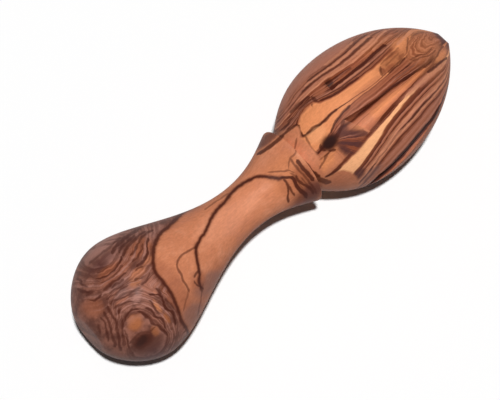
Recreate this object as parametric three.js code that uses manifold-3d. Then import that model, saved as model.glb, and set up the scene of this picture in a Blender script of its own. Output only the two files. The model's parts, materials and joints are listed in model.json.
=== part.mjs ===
// Wooden citrus reamer, turned and carved from one piece of wood, so it is a single solid.
// A bulb handle narrows to a waist and flares to a sharp collar; past the collar stands an
// almond-shaped head with six flutes cut into it by hand. Millimetres, +Z up, tip towards +X.
// The reamer lies on its side at rest: the bulb and the head touch the surface under it.
import * as THREE from "three";
import { mergeVertices } from "three/addons/utils/BufferGeometryUtils.js";
import Module from "manifold-3d";

// Handle: distances run along the axis from the butt end.
const handleLength = 92.4; // butt end to the collar's rim
const buttFlatRadius = 6.7; // flat left where the turning was parted off
const bulbRadius = 22.3;
const bulbDistance = 19.8; // butt end to the bulb's widest ring
const waistRadius = 8.6;
const waistDistance = 69.3; // butt end to the narrowest ring
const collarRadius = 14.9;
const collarFlareDegrees = 24.8; // slope of the handle where it meets the collar's rim
const rimWidth = 0.6; // narrow band round the collar's edge

// Head: distances run along the axis from the head's root.
const neckLength = 0.6; // from the collar's shoulder to the head's root
const neckRadius = 10.6;
const headLength = 73.2; // root to tip
const headRadius = 24.15;
const headDistance = 30.3; // root to the head's widest ring
const headRootDegrees = 47.3; // slope of the head as it leaves its root
const tipFlatRadius = 1.7;
const tipDegrees = 54.7; // slope of the head as it meets the tip
const tipCutDepth = 0.2; // the tip is trimmed by a slanting cut that starts this far down the axis
const tipCutLean = 25; // degrees that the cut leans back from square
const tipCutTurn = 19; // degrees about +X from straight up to the side that it faces

// How far each curve runs straight on from a ring before it bends away.
const buttPull = 4.2;
const bulbPullToButt = 11.2;
const bulbPullToWaist = 13.1;
const waistPullToBulb = 19.5;
const waistPullToCollar = 10.1;
const collarPull = 7.0;
const rootPull = 10.7;
const headPullToRoot = 9.4;
const headPullToTip = 10.4;
const tipPull = 13.3;

// Flutes: wide and deep at the end near the collar, and run out to a point near the tip.
const fluteTipGap = 16.7; // from the point where the flutes run out to the tip
const fluteWallPower = 3.6; // higher makes a flatter floor and steeper walls
const fluteDepthPower = 0.75; // lower keeps a flute deep for more of its length
// They are spaced and sized by eye. Each lies at a number of degrees about +X from straight up
// where it runs out, and curves on by its skew towards the end near the collar. That end's middle
// is at the start, from the head's root, and its lower corner leads the middle by the slant.
const flutes = [
  { degrees: 28, skew: 0, start: 19.5, slant: 2.6, width: 9.0, depth: 4.0 },
  { degrees: 75.5, skew: 24, start: 16.9, slant: -2.0, width: 8.4, depth: 3.8 },
  { degrees: 153, skew: 0, start: 19.8, slant: 2.3, width: 7.9, depth: 3.5 },
  { degrees: 216, skew: 0, start: 19.7, slant: 2.4, width: 8.4, depth: 3.7 },
  { degrees: 280, skew: 0, start: 19.9, slant: 2.2, width: 7.7, depth: 3.4 },
  { degrees: 344, skew: 0, start: 21.4, slant: -0.5, width: 5.4, depth: 3.2 },
];
const toolLift = 0.3; // the cutter ends this far above the wood
const toolOvershoot = 3; // the cutter stands this far out of the wood

// Facets
const turnSegments = 64;
const curveSegments = 9;
const fluteRings = 9;
const fluteFacets = 8;

const wasm = await Module();
wasm.setup();

const shoulder = handleLength + rimWidth;
const headRoot = shoulder + neckLength;
const overallLength = headRoot + headLength;

// Half the outline of the turned blank, as points (radius, distance from the butt end).
function turnedProfile() {
  const headRing = headRoot + headDistance;
  const rise = (degrees) => Math.tan(THREE.MathUtils.degToRad(degrees));
  const outline = new THREE.Path().moveTo(0, 0).lineTo(buttFlatRadius, 0);
  outline.bezierCurveTo(
    buttFlatRadius + buttPull, 0,
    bulbRadius, bulbDistance - bulbPullToButt,
    bulbRadius, bulbDistance,
  );
  outline.bezierCurveTo(
    bulbRadius, bulbDistance + bulbPullToWaist,
    waistRadius, waistDistance - waistPullToBulb,
    waistRadius, waistDistance,
  );
  outline.bezierCurveTo(
    waistRadius, waistDistance + waistPullToCollar,
    collarRadius - collarPull * rise(collarFlareDegrees), handleLength - collarPull,
    collarRadius, handleLength,
  );
  outline.lineTo(collarRadius, shoulder).lineTo(neckRadius, shoulder).lineTo(neckRadius, headRoot);
  outline.bezierCurveTo(
    neckRadius + rootPull * rise(headRootDegrees), headRoot + rootPull,
    headRadius, headRing - headPullToRoot,
    headRadius, headRing,
  );
  outline.bezierCurveTo(
    headRadius, headRing + headPullToTip,
    tipFlatRadius + tipPull * rise(tipDegrees), overallLength - tipPull,
    tipFlatRadius, overallLength,
  );
  outline.lineTo(0, overallLength);
  return outline.getPoints(curveSegments);
}

// Radius of the turned blank at a distance from the butt end, on the head.
function headRadiusAt(profile, distance) {
  const end = profile.findIndex((point) => point.y > distance && point.y > headRoot);
  const [before, after] = [profile[end - 1], profile[end]];
  const share = (distance - before.y) / (after.y - before.y);
  return THREE.MathUtils.lerp(before.x, after.x, share);
}

// A closed skin over rings that have the same number of points, with a fan at each end.
function loftGeometry(rings) {
  const size = rings[0].length;
  const faces = [];
  for (let ring = 0; ring + 1 < rings.length; ring++) {
    for (let i = 0; i < size; i++) {
      const a = ring * size + i;
      const b = ring * size + ((i + 1) % size);
      faces.push(a, a + size, b, b, a + size, b + size);
    }
  }
  const last = (rings.length - 1) * size;
  for (let i = 1; i + 1 < size; i++) {
    faces.push(0, i, i + 1, last, last + i + 1, last + i);
  }
  const geometry = new THREE.BufferGeometry().setFromPoints(rings.flat());
  return geometry.setIndex(faces);
}

// The tool that cuts one flute. Its section is a U with a flat floor, and both width and depth
// shrink from the end near the collar to the run-out.
function fluteCutter(profile, { degrees, skew, start, slant, width, depth }) {
  const first = headRoot + start;
  const last = overallLength - fluteTipGap;
  const axis = new THREE.Vector3(1, 0, 0);
  const rings = [];
  for (let ring = 0; ring <= fluteRings; ring++) {
    const left = 1 - ring / fluteRings; // share of the flute's length still to come
    const middle = THREE.MathUtils.lerp(last, first, left);
    const halfWidth = (width / 2) * left + toolLift;
    const fullDepth = (depth + toolLift) * left ** fluteDepthPower;
    const turn = THREE.MathUtils.degToRad(degrees + skew * left ** 2);
    const place = (across, down) => {
      const x = middle + slant * across * left;
      const point = new THREE.Vector3(x, -across * halfWidth, headRadiusAt(profile, x) - down);
      return point.applyAxisAngle(axis, turn);
    };
    const section = [place(-1, -toolOvershoot)];
    for (let i = 0; i <= fluteFacets; i++) {
      const across = (2 * i) / fluteFacets - 1;
      const wall = Math.abs(across) ** fluteWallPower;
      section.push(place(across, fullDepth * (1 - wall) - toolLift));
    }
    section.push(place(1, -toolOvershoot));
    rings.push(section);
  }
  return loftGeometry(rings);
}

// The waste beyond the slanting cut that trims the tip.
function tipWaste() {
  const size = 4 * headRadius;
  const waste = new THREE.BoxGeometry(size, size, size).translate(size / 2, 0, 0);
  waste.rotateY(-THREE.MathUtils.degToRad(tipCutLean));
  waste.rotateX(THREE.MathUtils.degToRad(tipCutTurn));
  return waste.translate(overallLength - tipCutDepth, 0, 0);
}

function toSolid(geometry) {
  const bare = geometry.clone();
  bare.deleteAttribute("normal");
  bare.deleteAttribute("uv");
  const merged = mergeVertices(bare);
  return new wasm.Manifold(
    new wasm.Mesh({
      numProp: 3,
      vertProperties: merged.attributes.position.array,
      triVerts: new Uint32Array(merged.index.array),
    }),
  );
}

function toGeometry(solid) {
  const mesh = solid.getMesh();
  const geometry = new THREE.BufferGeometry();
  geometry.setAttribute("position", new THREE.BufferAttribute(mesh.vertProperties, mesh.numProp));
  geometry.setIndex(new THREE.BufferAttribute(mesh.triVerts, 1));
  geometry.computeVertexNormals();
  return geometry;
}

function makeReamer() {
  const profile = turnedProfile();
  // A flat of the turned blank faces down, half a segment round from the seam.
  const blank = new THREE.LatheGeometry(profile, turnSegments, Math.PI / turnSegments);
  blank.rotateZ(-Math.PI / 2);
  let solid = toSolid(blank).subtract(toSolid(tipWaste()));
  for (const flute of flutes) {
    solid = solid.subtract(toSolid(fluteCutter(profile, flute)));
  }
  const wood = new THREE.MeshStandardMaterial({ color: 0xb57447, roughness: 0.42, metalness: 0 });
  const reamer = new THREE.Mesh(toGeometry(solid), wood);
  reamer.name = "reamer";
  return reamer;
}

// Leans the axis so that the bulb and the wider head both touch the surface, then puts the
// middle of the reamer's footprint at the origin.
function layDown(reamer) {
  const reach = headRoot + headDistance - bulbDistance;
  reamer.rotation.y = -Math.atan2(headRadius - bulbRadius, reach);
  const box = new THREE.Box3().setFromObject(reamer, true);
  const middle = box.getCenter(new THREE.Vector3());
  reamer.position.set(-middle.x, -middle.y, -box.min.z);
}

const group = new THREE.Group();
const reamer = makeReamer();
layDown(reamer);
group.add(reamer);

export default group;
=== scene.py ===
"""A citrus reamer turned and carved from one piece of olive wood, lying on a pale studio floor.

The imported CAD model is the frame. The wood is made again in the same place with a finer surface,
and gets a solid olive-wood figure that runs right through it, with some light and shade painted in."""
import json
import math
from itertools import pairwise

import bmesh
import bpy
from bpy.props import FloatProperty, FloatVectorProperty, IntProperty, PointerProperty
from mathutils import Color, Euler, Matrix, Vector
from mathutils.geometry import interpolate_bezier


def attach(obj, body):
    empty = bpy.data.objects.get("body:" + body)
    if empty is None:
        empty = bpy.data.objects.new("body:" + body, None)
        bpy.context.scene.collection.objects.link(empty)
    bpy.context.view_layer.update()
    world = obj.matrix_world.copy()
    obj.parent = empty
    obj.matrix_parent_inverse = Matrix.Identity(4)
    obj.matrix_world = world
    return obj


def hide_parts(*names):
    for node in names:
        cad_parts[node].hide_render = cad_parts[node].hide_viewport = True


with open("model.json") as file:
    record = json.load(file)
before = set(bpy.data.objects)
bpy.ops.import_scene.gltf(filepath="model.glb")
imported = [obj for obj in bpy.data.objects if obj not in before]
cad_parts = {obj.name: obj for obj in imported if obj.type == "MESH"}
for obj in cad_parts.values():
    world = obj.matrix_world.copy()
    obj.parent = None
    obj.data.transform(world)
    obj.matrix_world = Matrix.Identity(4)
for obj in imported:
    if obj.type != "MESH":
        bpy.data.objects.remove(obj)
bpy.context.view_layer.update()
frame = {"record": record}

bl_info = {
    "name": "Olive-wood citrus reamer",
    "version": (1, 0, 0),
    "blender": (4, 5, 0),
    "location": "3D View > Sidebar > Reamer",
    "description": "Turns, carves and finishes a wooden citrus reamer and sets it on a studio floor",
    "category": "Object",
}

MM = 0.001
BUTT = frame["record"]["mounts"][0]
BUTT_PLACE = Vector(BUTT["pos_m"])
WOOD_AXIS = -Vector(BUTT["axis"])  # from the butt end towards the tip
WOOD_TURN = WOOD_AXIS.to_track_quat("X", "Z").to_matrix()
CAD_SIDES = 64  # flats round the CAD solid; the round wood lies inside them
MERGE_GAP = 0.001 * MM  # points closer than this are one point

# Turn about the wood's axis from straight up to the side that the figure is drawn on.
FIGURE_TURN = math.radians(19.26)

# Directions of the camera, in the wood's own axes.
CAMERA_BACK = Vector((-0.2901, -0.3157, 0.9034)).normalized()
CAMERA_RIGHT = Vector((0.7364, -0.6766, 0)).normalized()
SENSOR_WIDTH = 36  # millimetres
FLOOR_ROUGHNESS = 0.9


# Settings


def length(name, description, millimetres):
    return FloatProperty(name=name, description=description, default=millimetres * MM, unit="LENGTH")


def angle(name, description, degrees):
    return FloatProperty(
        name=name, description=description, default=math.radians(degrees), subtype="ANGLE"
    )


def colour(name, description, red, green, blue):
    """A colour written as it looks on screen, 0 to 255."""
    shown = Color((red / 255, green / 255, blue / 255))
    return FloatVectorProperty(
        name=name,
        description=description,
        default=shown.from_srgb_to_scene_linear(),
        subtype="COLOR",
        min=0.0,
        max=1.0,
    )


def per_flute(name, description, values, unit):
    """One size for each of the six flutes."""
    return FloatVectorProperty(
        name=name, description=description, size=len(values), default=values, unit=unit
    )


class ReamerSizes(bpy.types.PropertyGroup):
    handle_length: length("Handle length", "Butt end to the collar's rim", 92.4)
    butt_flat: length("Butt flat radius", "Flat left where the turning was parted off", 6.7)
    bulb_radius: length("Bulb radius", "Handle at its widest", 22.3)
    bulb_distance: length("Bulb distance", "Butt end to the bulb's widest ring", 19.8)
    waist_radius: length("Waist radius", "Handle at its narrowest", 8.6)
    waist_distance: length("Waist distance", "Butt end to the narrowest ring", 69.3)
    collar_radius: length("Collar radius", "Handle at the collar's rim", 14.9)
    collar_flare: angle("Collar flare", "Slope of the handle where it meets the rim", 24.8)
    rim_width: length("Rim width", "Narrow band round the collar's edge", 0.6)
    neck_length: length("Neck length", "Collar's shoulder to the head's root", 0.6)
    neck_radius: length("Neck radius", "Step between the collar and the head", 10.6)
    head_length: length("Head length", "Root to tip", 73.2)
    head_radius: length("Head radius", "Head at its widest", 24.13)
    head_distance: length("Head distance", "Root to the head's widest ring", 30.3)
    root_slope: angle("Root slope", "Slope of the head as it leaves its root", 47.3)
    tip_flat: length("Tip flat radius", "Tip before it is trimmed", 1.7)
    tip_slope: angle("Tip slope", "Slope of the head as it meets the tip", 54.7)
    tip_cut: length("Tip cut depth", "How far down the axis the trimming cut starts", 0.2)
    tip_lean: angle("Tip cut lean", "How far the cut leans back from square", 25)
    tip_turn: angle("Tip cut turn", "Side that the cut faces, from straight up", 19)
    butt_pull: length("Butt pull", "How far the outline runs straight on from the butt's flat", 4.2)
    bulb_pull_back: length("Bulb pull back", "How far it runs straight from the bulb to the butt", 11.2)
    bulb_pull_on: length("Bulb pull on", "How far it runs straight from the bulb to the waist", 13.1)
    waist_pull_back: length("Waist pull back", "How far it runs straight from the waist to the bulb", 19.5)
    waist_pull_on: length("Waist pull on", "How far it runs straight from the waist to the collar", 10.1)
    collar_pull: length("Collar pull", "How far it runs straight from the rim to the waist", 7.0)
    root_pull: length("Root pull", "How far it runs straight from the head's root", 10.7)
    head_pull_back: length("Head pull back", "How far it runs straight from the head to its root", 9.4)
    head_pull_on: length("Head pull on", "How far it runs straight from the head to the tip", 10.4)
    tip_pull: length("Tip pull", "How far it runs straight from the tip to the head", 13.3)
    edge_round: length("Edge rounding", "Softening of the turned edges", 0.08)
    rim_angle: angle("Rim angle", "Turned edges sharper than this are softened", 35)
    sharp_angle: angle("Sharp angle", "Edges sharper than this stay crisp", 32)
    flute_gap: length("Flute tip gap", "From where the flutes run out to the tip", 16.7)
    flute_wall: FloatProperty(
        name="Flute wall", description="Higher gives a flatter floor and steeper walls", default=3.6
    )
    flute_hold: FloatProperty(
        name="Flute depth power",
        description="Lower keeps a flute deep for more of its length",
        default=0.75,
    )
    flute_turns: per_flute(
        "Flute turns", "Where each flute runs out, turning about the axis from straight up",
        [math.radians(turn) for turn in (28, 75.5, 153, 216, 280, 344)], "ROTATION",
    )
    flute_skews: per_flute(
        "Flute skews", "How far each flute curves on towards its end near the collar",
        [math.radians(turn) for turn in (0, 24, 0, 0, 0, 0)], "ROTATION",
    )
    flute_starts: per_flute(
        "Flute starts", "Head's root to the end near the collar",
        [place * MM for place in (19.5, 16.9, 19.8, 19.7, 19.9, 21.4)], "LENGTH",
    )
    flute_slants: per_flute(
        "Flute slants", "How far the lower corner of that end leads",
        [lead * MM for lead in (2.6, -2.0, 2.3, 2.4, 2.2, -0.5)], "LENGTH",
    )
    flute_widths: per_flute(
        "Flute widths", "Width at the end near the collar",
        [width * MM for width in (9.0, 8.4, 7.9, 8.4, 7.7, 5.4)], "LENGTH",
    )
    flute_depths: per_flute(
        "Flute depths", "Depth at the end near the collar",
        [depth * MM for depth in (4.0, 3.8, 3.5, 3.7, 3.4, 3.2)], "LENGTH",
    )
    turn_steps: IntProperty(name="Turn steps", description="Faces round the wood", default=240)


class OliveWoodColours(bpy.types.PropertyGroup):
    tan: colour("Tan", "Plain wood of the handle", 207, 130, 93)
    # Honey also paints light over the head towards the tip.
    honey: colour("Honey", "Warm plain wood between the stripes", 230, 146, 97)
    pale: colour("Pale", "Palest stripes", 255, 184, 133)
    # Blush also paints the sheen along the top of the waist.
    blush: colour("Blush", "Light pinkish wood", 222, 147, 112)
    pink: colour("Pink", "Pinkish stripes", 188, 120, 95)
    # Red also paints shade on the handle's lower side, in part, and light on a shaded flute wall.
    red: colour("Red", "Reddish stripes", 165, 97, 69)
    russet: colour("Russet", "Red-brown stripes", 140, 74, 48)
    brown: colour("Brown", "Brown stripes", 108, 54, 36)
    # Dark also paints shade in the step past the collar's rim and on and beside the flute walls.
    dark: colour("Dark", "Dark veins", 70, 27, 16)
    # Ink also paints the shadow under the lip of the flute along the lowest guide.
    ink: colour("Ink", "Darkest heart of knots and veins", 40, 14, 9)
    purple: colour("Purple", "Purplish dark bands", 86, 48, 44)
    grey: colour("Grey", "Greyish bands in the bulb", 132, 96, 88)
    amber: colour("Amber", "Orange wood inside the swirls", 170, 102, 66)
    umber: colour("Umber", "Darker ground of the bulb", 100, 59, 48)
    clay: colour("Clay", "Lighter ground of the bulb", 150, 97, 80)
    mauve: colour("Mauve", "Light greyish layers in the bulb", 178, 126, 112)


class StudioSettings(bpy.types.PropertyGroup):
    floor: FloatProperty(name="Floor", description="How pale the floor is, from 0 to 1", default=0.97)
    floor_bounce: FloatProperty(
        name="Floor bounce", description="Share of the light that the floor throws back", default=0.3
    )
    floor_size: length("Floor size", "From the middle of the floor to its edges", 4000)
    key_power: FloatProperty(
        name="Key light", description="Strength of the overhead key light", default=3.2
    )
    key_softness: angle("Key softness", "How wide the key light looks from the floor", 3)
    key_height: angle("Key height", "How high the key light stands over the floor", 74)
    key_side: angle("Key side", "How far the key light stands to the camera's right", 9)
    fill: FloatProperty(name="Fill", description="Strength of the even light all round", default=0.045)
    lens: FloatProperty(
        name="Lens", description="Focal length on a 36 mm wide sensor", default=187.7, unit="CAMERA"
    )
    shift: FloatVectorProperty(
        name="Lens shift",
        description="How far the picture moves, as a share of its width",
        size=2,
        default=(-0.0373, -0.0283),
    )
    aim: length("Aim", "From the butt end to the point that the camera faces", 81.8)
    distance: length("Camera distance", "From that point to the camera", 900)


# Shape


def turned_outline(sizes):
    """Half the turned outline as points (along, 0, radius), from the butt's centre to the tip's."""
    shoulder = sizes.handle_length + sizes.rim_width
    root = shoulder + sizes.neck_length
    head = root + sizes.head_distance
    tip = root + sizes.head_length

    def at(along, radius):
        return Vector((along, 0, radius))

    def pulled(along, radius, pull, slope=0.0):
        """A handle that leaves a point along the axis, rising by the slope."""
        return at(along + pull, radius + pull * math.tan(slope))

    butt = at(0, sizes.butt_flat)
    bulb = at(sizes.bulb_distance, sizes.bulb_radius)
    waist = at(sizes.waist_distance, sizes.waist_radius)
    rim = at(sizes.handle_length, sizes.collar_radius)
    neck = at(root, sizes.neck_radius)
    widest = at(head, sizes.head_radius)
    end = at(tip, sizes.tip_flat)
    handle = [
        (butt, at(0, sizes.butt_flat + sizes.butt_pull), pulled(*bulb.xz, -sizes.bulb_pull_back), bulb, 30),
        (bulb, pulled(*bulb.xz, sizes.bulb_pull_on), pulled(*waist.xz, -sizes.waist_pull_back), waist, 50),
        (waist, pulled(*waist.xz, sizes.waist_pull_on),
         pulled(*rim.xz, -sizes.collar_pull, sizes.collar_flare), rim, 26),
    ]
    cone = [
        (neck, pulled(*neck.xz, sizes.root_pull, sizes.root_slope),
         pulled(*widest.xz, -sizes.head_pull_back), widest, 48),
        (widest, pulled(*widest.xz, sizes.head_pull_on),
         pulled(*end.xz, -sizes.tip_pull, -sizes.tip_slope), end, 72),
    ]
    points = [at(0, 0)]
    for *curve, pieces in handle:
        points += interpolate_bezier(*curve, pieces + 1)
    points += [at(shoulder, sizes.collar_radius), at(shoulder, sizes.neck_radius)]
    for *curve, pieces in cone:
        points += interpolate_bezier(*curve, pieces + 1)
    points.append(at(tip, 0))
    inside = math.cos(math.pi / CAD_SIDES)
    return [at(point.x, point.z * inside) for point in points]


def turn_blank(sizes, outline):
    """Spins the outline into a closed solid, softens its rims and trims the tip."""
    blank = bmesh.new()
    points = [blank.verts.new(point) for point in outline]
    lines = [blank.edges.new(pair) for pair in pairwise(points) if pair[0].co != pair[1].co]
    bmesh.ops.spin(
        blank,
        geom=points + lines,
        cent=(0, 0, 0),
        axis=(1, 0, 0),
        angle=math.tau,
        steps=sizes.turn_steps,
        use_merge=True,
    )
    bmesh.ops.remove_doubles(blank, verts=blank.verts, dist=MERGE_GAP)
    bmesh.ops.recalc_face_normals(blank, faces=blank.faces)
    rims = [edge for edge in blank.edges if edge.calc_face_angle(0) > sizes.rim_angle]
    bmesh.ops.bevel(
        blank,
        geom=rims,
        offset=sizes.edge_round,
        offset_type="OFFSET",
        affect="EDGES",
        segments=2,
        profile=0.5,
        material=-1,
    )
    tip = outline[-1].x - sizes.tip_cut
    facing = Euler((sizes.tip_turn, -sizes.tip_lean, 0)).to_matrix() @ Vector((1, 0, 0))
    bmesh.ops.bisect_plane(
        blank,
        geom=blank.verts[:] + blank.edges[:] + blank.faces[:],
        plane_co=(tip, 0, 0),
        plane_no=facing,
        clear_outer=True,
    )
    open_edges = [edge for edge in blank.edges if edge.is_boundary]
    bmesh.ops.edgeloop_fill(blank, edges=open_edges)
    bmesh.ops.recalc_face_normals(blank, faces=blank.faces)
    return blank


def radius_at(outline, along):
    """Radius of the head at a distance from the butt end."""
    before, after = next(
        (a, b) for a, b in reversed(list(pairwise(outline))) if a.x <= along < b.x or a.x < along <= b.x
    )
    return before.z + (after.z - before.z) * (along - before.x) / (after.x - before.x)


def add_flute_cutter(cutters, sizes, outline, flute, rings=28, facets=20):
    """The tool for one flute: a U with a flat floor, whose width and depth shrink from the end
    near the collar to the run-out."""
    lift = 0.3 * MM  # the cutter ends this far above the wood
    overshoot = 3 * MM
    root = sizes.handle_length + sizes.rim_width + sizes.neck_length
    first = root + sizes.flute_starts[flute]
    last = root + sizes.head_length - sizes.flute_gap
    loops = []
    for ring in range(rings + 1):
        left = 1 - ring / rings  # share of the flute's length still to come
        middle = last + (first - last) * left
        half_width = sizes.flute_widths[flute] / 2 * left + lift
        full_depth = (sizes.flute_depths[flute] + lift) * left**sizes.flute_hold
        turn = sizes.flute_turns[flute] + sizes.flute_skews[flute] * left**2
        about = Matrix.Rotation(turn, 3, "X")

        def place(across, depth):
            along = middle + sizes.flute_slants[flute] * across * left
            return about @ Vector((along, -across * half_width, radius_at(outline, along) - depth))

        section = [place(-1, -overshoot)]
        for step in range(facets + 1):
            across = 2 * step / facets - 1
            wall = abs(across) ** sizes.flute_wall
            section.append(place(across, full_depth * (1 - wall) - lift))
        section.append(place(1, -overshoot))
        points = [cutters.verts.new(point) for point in section]
        loops.append([cutters.edges.new(pair) for pair in pairwise(points + points[:1])])
    for near, far in pairwise(loops):
        bmesh.ops.bridge_loops(cutters, edges=near + far)
    for loop in (loops[0], loops[-1]):
        bmesh.ops.edgeloop_fill(cutters, edges=loop)


def mesh_object(name, shape):
    mesh = bpy.data.meshes.new(name)
    shape.to_mesh(mesh)
    shape.free()
    made = bpy.data.objects.new(name, mesh)
    bpy.context.scene.collection.objects.link(made)
    return made


def carve(wood, cutter):
    """Takes the cutter's space out of the wood and removes the cutter."""
    cut = wood.modifiers.new("flutes", "BOOLEAN")
    cut.object = cutter
    cut.operation = "DIFFERENCE"
    cut.solver = "EXACT"
    seen = wood.evaluated_get(bpy.context.evaluated_depsgraph_get())
    whole = wood.data
    wood.data = bpy.data.meshes.new_from_object(seen)
    wood.modifiers.clear()
    bpy.data.meshes.remove(whole)
    bpy.data.meshes.remove(cutter.data)


# Olive wood


# Ends of drawn lines, in millimetres: the longest taper, its share of a line and how far past the end.
LONGEST_TAPER = 1.2
TAPER_SHARE = 0.3
TAPER_PAST = 0.4


class Figure:
    """Adds nodes to a material and wires each one to the sockets and numbers that it reads."""

    def __init__(self, tree):
        self.tree = tree
        self.tree.nodes.clear()

    def feed(self, socket, value):
        if isinstance(value, bpy.types.NodeSocket):
            self.tree.links.new(value, socket)
        elif socket.default_value != value:
            socket.default_value = value

    def add(self, kind, inputs, output=0, **settings):
        node = self.tree.nodes.new("ShaderNode" + kind)
        for name, value in settings.items():
            setattr(node, name, value)
        for name, value in inputs.items():
            self.feed(node.inputs[name], value)
        return node.outputs[output]

    def math(self, operation, *values):
        return self.add("Math", dict(enumerate(values)), operation=operation)

    def vector(self, operation, *values, output=0):
        return self.add("VectorMath", dict(enumerate(values)), output, operation=operation)

    def split(self, place):
        return self.add("SeparateXYZ", {0: place}).node.outputs[:]

    def mix(self, share, first, second):
        inputs = {0: share, 6: first, 7: second}
        return self.add("Mix", inputs, output=2, data_type="RGBA")

    def ease(self, value, low, high, start=0.0, end=1.0):
        """A smooth step from start to end as the value goes from low to high."""
        inputs = {0: value, 1: low, 2: high, 3: start, 4: end}
        return self.add("MapRange", inputs, interpolation_type="SMOOTHSTEP", clamp=False)

    def span(self, value, low, high, start=0.0, end=1.0, clamp=True):
        inputs = {0: value, 1: low, 2: high, 3: start, 4: end}
        return self.add("MapRange", inputs, clamp=clamp)

    def both(self, *shares):
        """The product of several shares."""
        result = shares[0]
        for share in shares[1:]:
            result = self.math("MULTIPLY", result, share)
        return result

    def noise(self, where, stretch, detail=2.0, roughness=0.5, output="Fac", distortion=0.0):
        """Noise whose lumps are one over the stretch in size, in millimetres."""
        inputs = {
            "Vector": self.vector("MULTIPLY", where, stretch),
            "Scale": 1.0,
            "Detail": detail,
            "Roughness": roughness,
            "Distortion": distortion,
        }
        return self.add("TexNoise", inputs, output=output)

    def sway(self, where, stretch, reach, detail=1.0):
        """A place moved about by noise, by up to about half the reach."""
        shift = self.noise(where, stretch, detail, output="Color")
        shift = self.vector("SUBTRACT", shift, (0.5, 0.5, 0.5))
        shift = self.add("VectorMath", {0: shift, "Scale": reach}, operation="SCALE")
        return self.vector("ADD", where, shift)

    def layers(self, value, rate, detail=2.0):
        """Thin growth layers: noise that changes only with the value."""
        inputs = {"W": self.math("MULTIPLY", value, rate), "Scale": 1.0, "Detail": detail}
        return self.add("TexNoise", inputs, noise_dimensions="1D")

    def scale(self, value, low, high):
        """A value's share of a range, for curves drawn over that range."""
        return self.span(value, low, high, clamp=False), low, high

    def curve(self, scale, points):
        """A smooth curve through given points (value, result), level past its ends."""
        share, low, high = scale
        least = min(result for _, result in points)
        most = max(result for _, result in points)
        node = self.tree.nodes.new("ShaderNodeFloatCurve")
        node.mapping.use_clip = False
        node.mapping.extend = "HORIZONTAL"
        knots = node.mapping.curves[0].points
        for _ in points[2:]:
            knots.new(0.5, 0.5)
        for knot, (place, result) in zip(knots, points):
            knot.location = (place - low) / (high - low), (result - least) / (most - least)
        node.mapping.update()
        self.feed(node.inputs["Value"], share)
        return self.math("MULTIPLY_ADD", node.outputs[0], most - least, least)

    def ramp(self, value, stops):
        """Colours at given values, blended from each to the next, and how streaky each is."""
        low, high = stops[0][0], stops[-1][0]
        node = self.tree.nodes.new("ShaderNodeValToRGB")
        bands = node.color_ramp.elements
        for _ in stops[2:]:
            bands.new(0.5)
        for band, (place, shade) in zip(bands, stops):
            band.position = (place - low) / (high - low)
            band.color = shade
        self.feed(node.inputs[0], self.span(value, low, high))
        return node.outputs[:]

    def stroke(self, distance, half_width, soft):
        """1 on a line and 0 away from it."""
        away = self.math("ABSOLUTE", distance)
        return self.ease(away, max(half_width - soft, 0.0), half_width + soft, 1.0, 0.0)

    def drawn(self, where, calm, lines, soft=0.25):
        """Lines drawn through points (along, across): each has a half width and a strength first.
        A line runs on across the wood or along it, whichever it does more, and tapers at its ends.
        Its width changes with the sway into the wood, which is the place's gap from the calm place
        before the sway."""
        along, across, depth = self.split(where)
        waver = self.math("SUBTRACT", depth, self.split(calm)[2])
        drawn = 0.0
        for half_width, strength, points in lines:
            runs = [abs(points[-1][axis] - points[0][axis]) for axis in (0, 1)]
            if runs[0] > runs[1]:
                here, off, knots = along, across, sorted(points)
            else:
                here, off, knots = across, along, sorted((b, a) for a, b in points)
            first, last = knots[0][0], knots[-1][0]
            gap = self.math("SUBTRACT", off, self.curve(self.scale(here, first, last), knots))
            away = self.math("MULTIPLY_ADD", waver, 0.4, self.math("ABSOLUTE", gap))
            taper = min(LONGEST_TAPER, TAPER_SHARE * (last - first))
            gone = 1.3 * (half_width + soft)  # far enough off the line to hide it
            away = self.math("ADD", away, self.ease(here, first + taper, first - TAPER_PAST, 0.0, gone))
            away = self.math("ADD", away, self.ease(here, last - taper, last + TAPER_PAST, 0.0, gone))
            line = self.ease(away, half_width - soft, half_width + soft, strength, 0.0)
            drawn = self.math("MAXIMUM", drawn, line)
        return drawn

    def patch(self, where, centre, half_sizes, strength):
        """A soft oval patch."""
        away = self.vector("SUBTRACT", where, (*centre, 0.0))
        away = self.vector("MULTIPLY", away, (1 / half_sizes[0], 1 / half_sizes[1], 0.0))
        reach = self.vector("LENGTH", away, output="Value")
        return self.ease(reach, 1.3, 0.5, 0.0, strength)

    def around(self, along, across, centre):
        """Distance from a centre, and the angle in degrees from the butt's side towards the top."""
        run = self.math("SUBTRACT", centre[0], along)
        rise = self.math("SUBTRACT", across, centre[1])
        squares = self.math("MULTIPLY_ADD", run, run, self.math("MULTIPLY", rise, rise))
        turn = self.math("DEGREES", self.math("ARCTAN2", rise, run))
        return self.math("SQRT", squares), turn

    def round_line(self, where, centre, points):
        """Distance from a line drawn round a centre through points (degrees, radius)."""
        radius, turn = self.around(*self.split(where)[:2], centre)
        drawn = self.curve(self.scale(turn, -180, 180), points)
        ahead = self.curve(self.scale(self.math("ADD", turn, 3.0), -180, 180), points)
        rise = self.math("DIVIDE", self.math("SUBTRACT", ahead, drawn), math.radians(3.0))
        slope = self.math("DIVIDE", rise, radius)
        lean = self.math("SQRT", self.math("MULTIPLY_ADD", slope, slope, 1.0))
        return self.math("DIVIDE", self.math("SUBTRACT", radius, drawn), lean)

    def rings(self, where, centre, core, gap):
        """Rings round a core: -1 at its centre, 0 at its edge, and one more for each gap."""
        radius, turn = self.around(*self.split(where)[:2], centre)
        turns = self.scale(turn, -180, 180)
        edge = self.curve(turns, core)
        outside = self.math("DIVIDE", self.math("SUBTRACT", radius, edge), self.curve(turns, gap))
        inside = self.math("SUBTRACT", self.math("DIVIDE", radius, edge), 1.0)
        return self.math("ADD", self.math("MAXIMUM", outside, 0.0), self.math("MINIMUM", inside, 0.0))
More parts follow.
